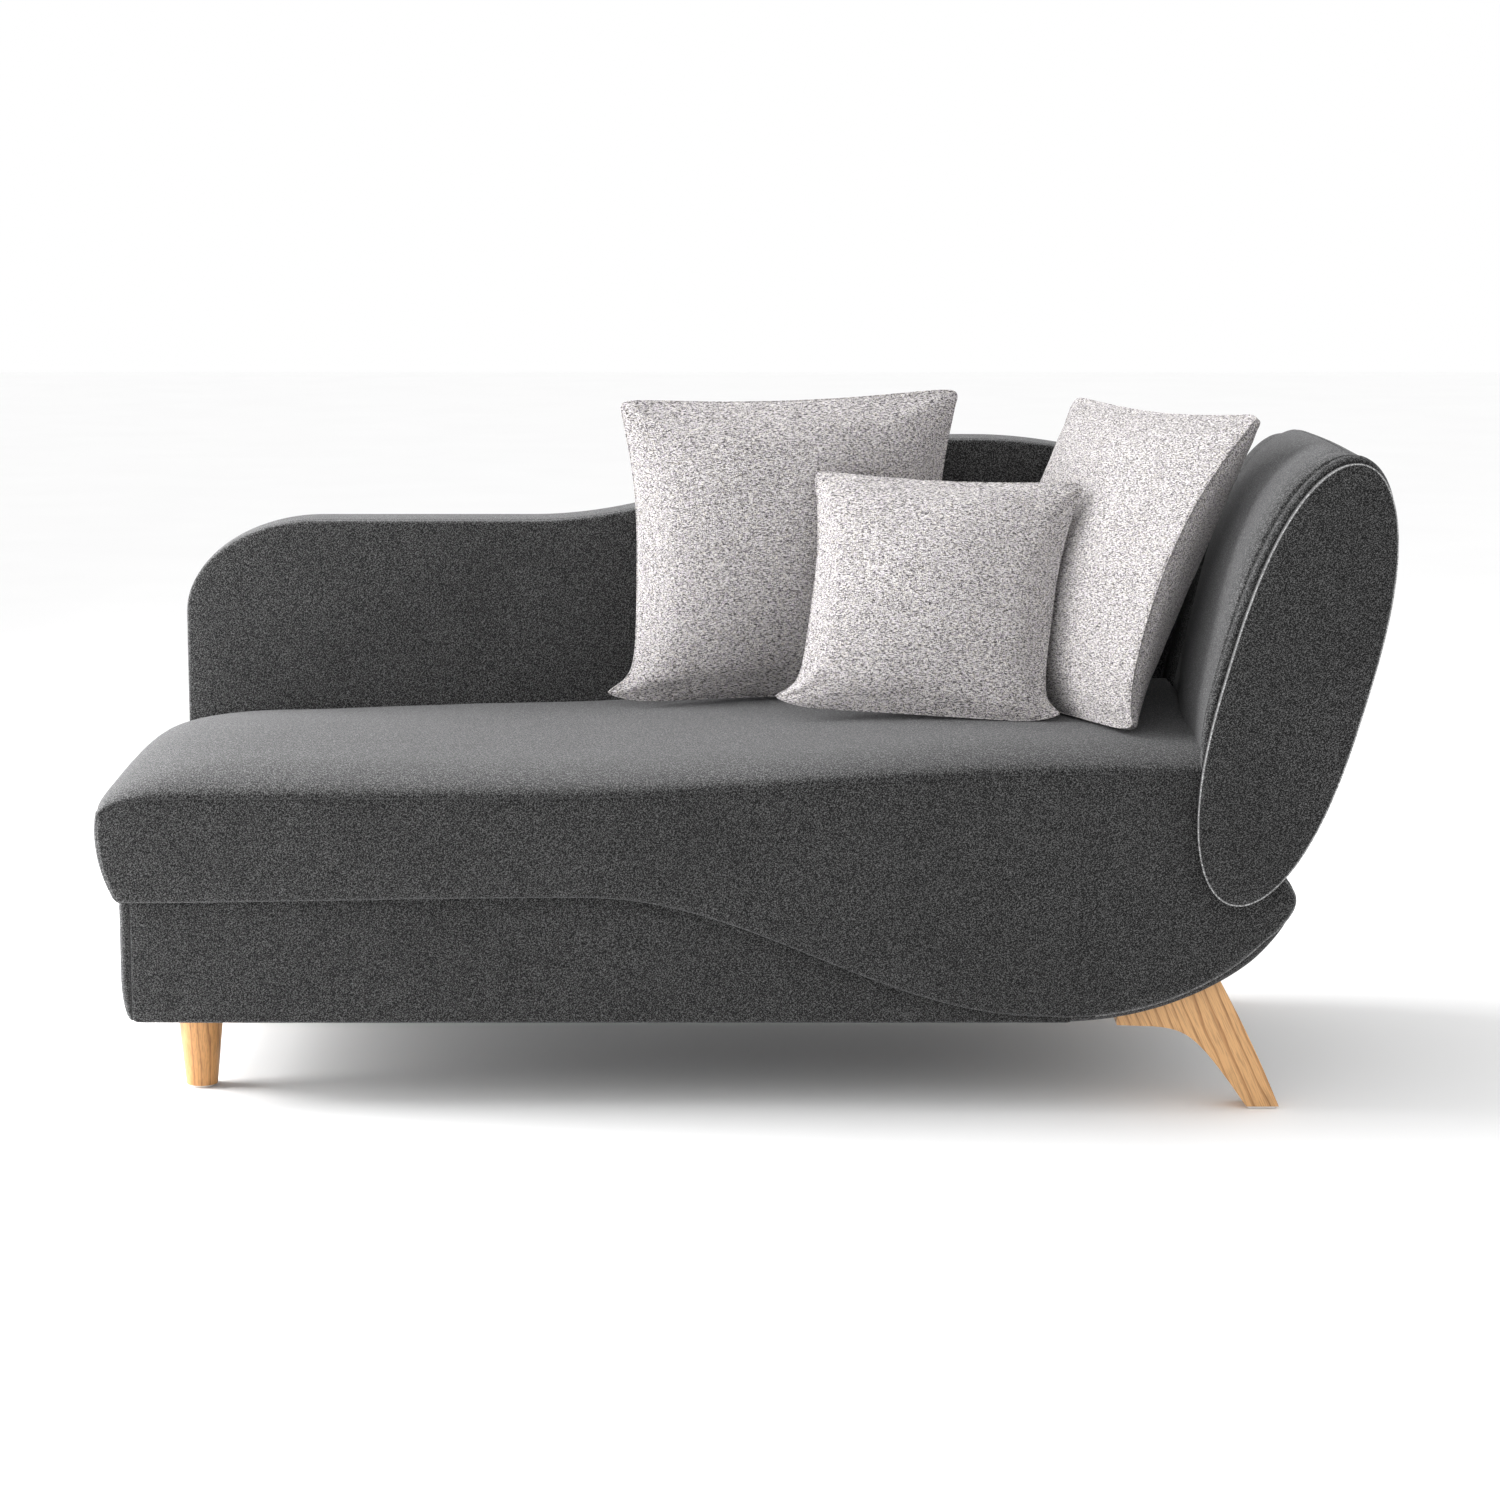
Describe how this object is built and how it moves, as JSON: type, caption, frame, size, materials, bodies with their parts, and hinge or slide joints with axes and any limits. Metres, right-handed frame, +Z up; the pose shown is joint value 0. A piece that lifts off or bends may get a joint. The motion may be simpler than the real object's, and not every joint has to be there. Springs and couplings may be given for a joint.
{
  "type": "upholstered recamier",
  "caption": "Upholstered recamier with a long shaped back, rolled headboard closed by an oval cheek, S-curved front panel, wooden legs and loose cushions.",
  "frame": {"origin": "on the floor, at the middle of the bounding box in plan", "axes": "+X along the length towards the headboard, -Y is the open front, +Z up"},
  "size_m": [1.6561, 0.73, 0.8952],
  "materials": {
    "upholstery": "charcoal heathered plain weave",
    "underside": "dark woven cover",
    "cushion_cover": "pale melange weave",
    "filling": "soft fibre filling",
    "foam": "open-cell foam",
    "webbing": "elastic webbing",
    "leg_wood": "light wood, clear matt lacquer",
    "frame_wood": "planed softwood",
    "plywood": "sanded plywood",
    "steel": "zinc-plated",
    "glide": "moulded plastic"
  },
  "bodies": {
    "frame": {"side_board_front": "plywood", "side_board_rear": "plywood", "end_board": "plywood", "cross_rails": "frame_wood", "leg_blocks": "frame_wood", "boat_skin": "plywood", "boat_cover": "underside", "base_front_panel": "upholstery", "base_end_panel": "upholstery", "dust_cover": "underside", "seat_front_rail": "frame_wood", "seat_rear_rail": "frame_wood", "seat_end_rail": "frame_wood", "webbing_lengthwise": "webbing", "webbing_crosswise": "webbing", "seat_foam": "foam", "seat_top": "upholstery", "wave_board": "plywood", "wave_panel": "upholstery", "seat_end_panel": "upholstery", "back_posts": "frame_wood", "back_lower_rail": "frame_wood", "back_top_rail": "plywood", "back_webbing": "webbing", "back_foam": "foam", "back_front_panel": "upholstery", "back_border": "upholstery", "rear_panel": "upholstery", "head_former_front": "plywood", "head_former_rear": "plywood", "head_packer_front": "plywood", "head_packer_rear": "plywood", "head_rails": "frame_wood", "head_inner_pad": "upholstery", "head_outer_pad": "upholstery", "cheek_board_front": "plywood", "cheek_panel_front": "upholstery", "cone_leg_front": "leg_wood", "cone_leg_rear": "leg_wood", "leg_plates": "steel", "leg_bolts": "steel", "curved_leg_front": "leg_wood", "curved_leg_rear": "leg_wood", "leg_cleats": "frame_wood", "cleat_bolts": "steel", "head_bolts": "steel", "back_bolts": "steel", "glides": "glide"},
    "large": {"large_cushion": "cushion_cover", "large_insert": "filling"},
    "small": {"small_cushion": "cushion_cover", "small_insert": "filling"},
    "turned": {"turned_cushion": "cushion_cover", "turned_insert": "filling"}
  },
  "joints": [
    {"name": "large_lift", "type": "slide", "parent": "frame", "child": "large", "axis": [-0.4384, 0, 0.8988], "range_m": [0, 0.45]},
    {"name": "small_lift", "type": "slide", "parent": "frame", "child": "small", "axis": [0, 0, 1], "range_m": [0, 0.4]},
    {"name": "turned_lift", "type": "slide", "parent": "frame", "child": "turned", "axis": [0.3853, 0.1921, 0.9026], "range_m": [0, 0.45]}
  ]
}
